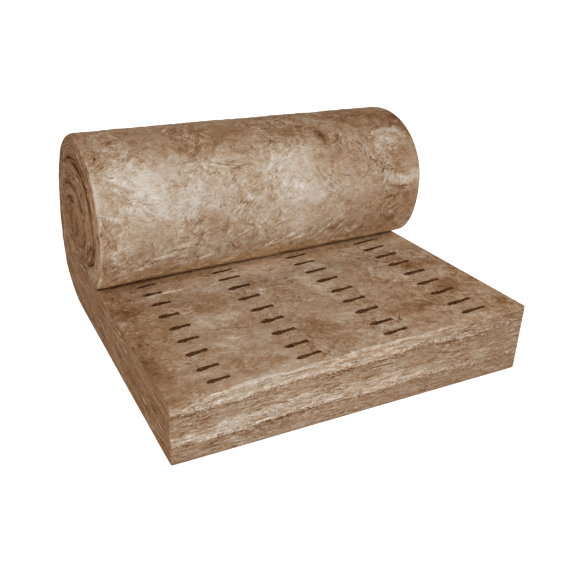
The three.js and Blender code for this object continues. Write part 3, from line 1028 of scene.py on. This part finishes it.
# Painted shadow flecks under a band's lower edge, where the band overhangs: how far below the edge they lie,
# how far they reach from there, and how dark they are for a band's paleness.
SHADOW_FLECKS_BELOW, SHADOW_FLECKS_REACH, SHADOW_FLECKS_DARKNESS = 3 * MM, 4 * MM, 1.1


def linear(shade):
    """A colour as it looks on a screen, as Blender's linear numbers."""
    parts = [c / 255 for c in shade]
    return [p / 12.92 if p <= 0.04045 else ((p + 0.055) / 1.055) ** 2.4 for p in parts] + [1]


def wool_material():
    material = bpy.data.materials.new("glass_wool")
    graph = Graph(material)
    place = graph.read("strip", "Vector")
    at_end, contrast, at_cut = graph.read_three("grain")

    def bent(at, scale, amount):
        push = graph.vector("SUBTRACT", graph.noise(at, scale, output="Color"), (0.5, 0.5, 0.5))
        return graph.vector("ADD", at, graph.vector("MULTIPLY", push, (amount,) * 3))

    def streaks(at, size, detail=4, roughness=0.7):
        return graph.noise(graph.vector("MULTIPLY", at, size), 1, detail, roughness) - 0.5

    def turned(at, angle):
        return graph.wire(0, "VectorRotate", {"Vector": at, "Angle": angle}, rotation_type="Z_AXIS")

    def blend(share, a, b):
        return graph.wire(0, "Mix", {0: share, 2: a, 3: b})

    def lines(value, width):
        """1 along the thin winding lines where value passes 0."""
        return graph.remap(abs(value), width, 0)

    def spots(at, scale, low, high):
        """Ragged spots where a noise lies past low, full past high."""
        return graph.remap(graph.noise(at, scale, 4, 0.75), low, high)

    layered = graph.vector("MULTIPLY", place, (1, 1, 5))
    flow = bent(bent(bent(layered, 4, 0.10), 14, 0.03), 30, 0.016)
    leaning, crossing = turned(flow, 0.8), turned(flow, -0.7)
    broad = graph.noise(flow, 8, 3) - 0.5
    mottle = graph.noise(flow, 30, 4, 0.75) - 0.5
    grit = graph.noise(bent(place, 60, 0.01), 110, 2, 0.7) - 0.5
    cells = {"Vector": bent(flow, 60, 0.014), "Scale": 42.0}
    clumps = graph.math("SUBTRACT", 0.35, graph.wire("Distance", "TexVoronoi", cells, feature="F1"))

    # Fibres run three ways in turn on the faces, and along the layers on the ends and the cut.
    first = graph.remap(graph.noise(place, 7, 1), 0.42, 0.58)
    second = graph.remap(graph.noise(place, 9, 1), 0.45, 0.60)
    fibres = [streaks(at, (30, 190, 220)) for at in (flow, leaning, crossing)]
    fibres = blend(first, blend(second, fibres[0], fibres[2]), fibres[1])
    fibres = blend(at_end, fibres, streaks(flow, (30, 9, 28)))
    fibres = blend(at_cut, fibres, streaks(flow, (14, 30, 48)))
    strands = lines(streaks(leaning, (9, 30, 34), 2, 0.5), 0.014) * spots(flow, 14, 0.46, 0.60)
    creases = lines(streaks(crossing, (8, 22, 26), 2, 0.5), 0.012) * spots(flow, 11, 0.51, 0.62)
    seams = lines(streaks(flow, (20, 2.5, 7), 3, 0.6), 0.014) * at_end
    dark_flecks, pale_flecks = spots(flow, 75, 0.58, 0.68), spots(leaning, 70, 0.60, 0.70)
    grains = graph.noise(place, 210, 3, 0.8) - 0.5
    speckle = (0.20 * grit + 0.24 * grains) * graph.remap(at_end, 0, 1, 1, 0.4)

    height = 0.35 * broad + 0.60 * mottle + 0.40 * clumps + 0.32 * fibres + 0.09 * strands
    height = height - 0.14 * creases - 0.12 * dark_flecks + 0.08 * pale_flecks - 0.25 * seams
    height = height + 0.30 * grit
    fine = 0.44 * mottle + 0.09 * clumps + 0.46 * fibres + 0.14 * strands - 0.21 * creases
    fine = fine - 0.07 * dark_flecks + 0.05 * pale_flecks - 0.14 * seams + speckle
    uneven = graph.remap(graph.noise(place, 7, 2), 0.35, 0.65, 0.65, 1.35)
    tone = graph.read("tone", "Fac") + (0.20 * broad + fine * (contrast * uneven))
    ramp = graph.node("ValToRGB", {"Fac": tone + band_tone(graph, flow)})
    points = ramp.color_ramp.elements
    while len(points) < len(TONE_COLOURS):
        points.new(0.5)
    for point, (position, shade) in zip(points, TONE_COLOURS):
        point.position = position
        point.color = linear(shade)
    brown = Wire(graph, ramp.outputs["Color"])
    # Painted shade: the brown grows stronger where the shade warmth says little light comes.
    shade_warmed = graph.colours(graph.read("shade_warmth", "Fac"), brown, SHADE_WARM_TINT, "MULTIPLY")

    worn = graph.remap(graph.noise(flow, 130, 2, 0.7), 0.58, 0.38)
    ink = graph.colours(worn, linear(INK), linear(WORN_INK))
    colour = graph.colours(dash_mask(graph, flow), shade_warmed, ink)
    bump = graph.wire(0, "Bump", {"Height": height, "Strength": 0.7, "Distance": 0.009})
    wool = graph.wire(0, "BsdfPrincipled", {
        "Base Color": colour, "Roughness": 1, "Specular IOR Level": 0.05, "Normal": bump,
    })
    graph.node("OutputMaterial", {"Surface": wool})
    return material


def band_tone(graph, flow):
    """How much paler the bands are. Their edges are ragged, with dark flecks of painted shadow under the
    lower one.
    """
    inside, pale, above = graph.read_three("band")
    at = graph.vector("MULTIPLY", flow, (60, 60, 36))
    ragged = (graph.noise(at, 1, 4, 0.7) - 0.5) * BAND_RAGGED
    band = graph.remap(inside + ragged, -BAND_SOFT, BAND_SOFT) * pale
    # Painted shadow under the band's overhanging lower edge.
    under = graph.remap(abs(above + ragged + SHADOW_FLECKS_BELOW), SHADOW_FLECKS_REACH, 0)
    shadow_flecks = graph.remap(graph.noise(flow, 90, 3, 0.7), 0.45, 0.58)
    return band - SHADOW_FLECKS_DARKNESS * (under * shadow_flecks * pale)


def dash_mask(graph, flow):
    """1 on the dashes, which are lumpy, ragged and thicker towards their left end."""
    column, row, half_length = graph.read_three("dash")
    across = column - graph.math("ROUND", column)
    across = graph.math("DIVIDE", across, graph.math("MAXIMUM", half_length, 1e-4))
    lean = across * (DASH_SLOPE * DASH_LENGTHS.mean() / 2)
    off_line = abs((row - graph.math("ROUND", row)) * ROW_SPACING - lean)
    shape = graph.node("FloatCurve", {"Value": (across + 1) * 0.5})
    curve = shape.mapping.curves[0]
    while len(curve.points) < len(DASH_SHAPE):
        curve.points.new(0.5, 0.5)
    for point, spot in zip(curve.points, DASH_SHAPE):
        point.location = spot
    shape.mapping.update()
    ragged = graph.noise(flow, 210, 3, 0.6) - 0.5
    thinner = graph.remap(row, LAST_DASH_ROW - 0.1, LAST_DASH_ROW + 0.1, 1, LAST_DASH_SHARE)
    half = Wire(graph, shape.outputs[0]) * DASH_HALF * thinner + ragged * DASH_RAGGED
    inside = graph.remap(half - off_line, -DASH_SOFT, DASH_SOFT)
    ends = abs(across) + DASH_END_RAGGED * ragged
    return inside * graph.remap(ends, 1 + DASH_END_SOFT, 1 - DASH_END_SOFT)


wool = wool_material()
blanket = add_blanket()
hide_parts(NODE)
for piece in [blanket] + add_all_wisps():
    piece.data.materials.append(wool)

# ---- Camera ----

CAMERA_AT = Vector((-1.0343, -2.0473, 1.2087))
CAMERA_AZIMUTH, CAMERA_ELEVATION, CAMERA_ROLL = (math.radians(a) for a in (-28.83, 25.34, 2.35))
CAMERA_LENS = 43.145  # on a 36 mm sensor


def add_camera():
    camera = bpy.data.objects.new("camera", bpy.data.cameras.new("camera"))
    turn = Matrix.Rotation(CAMERA_AZIMUTH, 4, "Z") @ Matrix.Rotation(math.pi / 2 - CAMERA_ELEVATION, 4, "X")
    camera.matrix_world = Matrix.Translation(CAMERA_AT) @ turn @ Matrix.Rotation(CAMERA_ROLL, 4, "Z")
    camera.data.lens = CAMERA_LENS
    camera.data.sensor_width = 36
    camera.data.clip_end = 60
    bpy.context.scene.collection.objects.link(camera)
    bpy.context.scene.camera = camera


add_camera()

# ---- Floor, light and world ----

WHITE = (1, 1, 1, 1)
WORLD_LIGHT, KEY_LIGHT = 0.80, 0.47  # how bright each makes a white surface that faces it
KEY_FROM, KEY_AIM = Vector((-0.45, -1.0, 0.68)), Vector((0, 0, 0.3))
KEY_SIZE, KEY_DISTANCE = 1.8, 4.2
FLOOR_HALF = 30
FLOOR_COLOUR, FLOOR_GLOW = (0.86, 0.86, 0.86, 1), 0.56


def seen_directly(graph):
    """1 where the camera, a mirror or a glass shows the surface, and 0 for light that it sheds."""
    path = graph.node("LightPath").outputs
    rays = ("Is Camera Ray", "Is Glossy Ray", "Is Transmission Ray")
    camera, glossy, through = (Wire(graph, path[ray]) for ray in rays)
    return graph.math("MAXIMUM", graph.math("MAXIMUM", camera, glossy), through)


def add_world():
    world = bpy.data.worlds.new("studio")
    bpy.context.scene.world = world
    graph = Graph(world)
    light = graph.wire(0, "Background", {"Color": WHITE, "Strength": WORLD_LIGHT})
    backdrop = graph.wire(0, "Background", {"Color": WHITE, "Strength": 1.0})
    both = graph.wire(0, "MixShader", {0: seen_directly(graph), 1: light, 2: backdrop})
    graph.node("OutputWorld", {"Surface": both})


def add_key():
    lamp = bpy.data.lights.new("key", "AREA")
    lamp.shape = "DISK"
    lamp.size = KEY_SIZE
    lamp.energy = KEY_LIGHT * math.pi * KEY_DISTANCE**2 * math.pi
    key = bpy.data.objects.new("key", lamp)
    direction = KEY_FROM.normalized()
    key.location = direction * KEY_DISTANCE + KEY_AIM
    key.rotation_euler = direction.to_track_quat("Z", "Y").to_euler()
    bpy.context.scene.collection.objects.link(key)


def add_floor():
    plane = bpy.data.meshes.new("floor")
    corners = [(FLOOR_HALF * i, FLOOR_HALF * j, 0) for i, j in ((-1, -1), (1, -1), (1, 1), (-1, 1))]
    plane.from_pydata(corners, [], [(0, 1, 2, 3)])
    floor = bpy.data.objects.new("floor", plane)
    bpy.context.scene.collection.objects.link(floor)
    material = bpy.data.materials.new("floor")
    graph = Graph(material)
    diffuse = graph.wire(0, "BsdfDiffuse", {"Color": FLOOR_COLOUR})
    glow = graph.wire(0, "Emission", {"Color": WHITE, "Strength": FLOOR_GLOW * seen_directly(graph)})
    graph.node("OutputMaterial", {"Surface": graph.wire(0, "AddShader", {0: diffuse, 1: glow})})
    plane.materials.append(material)


add_world()
add_key()
add_floor()
bpy.context.scene.view_settings.view_transform = "Standard"
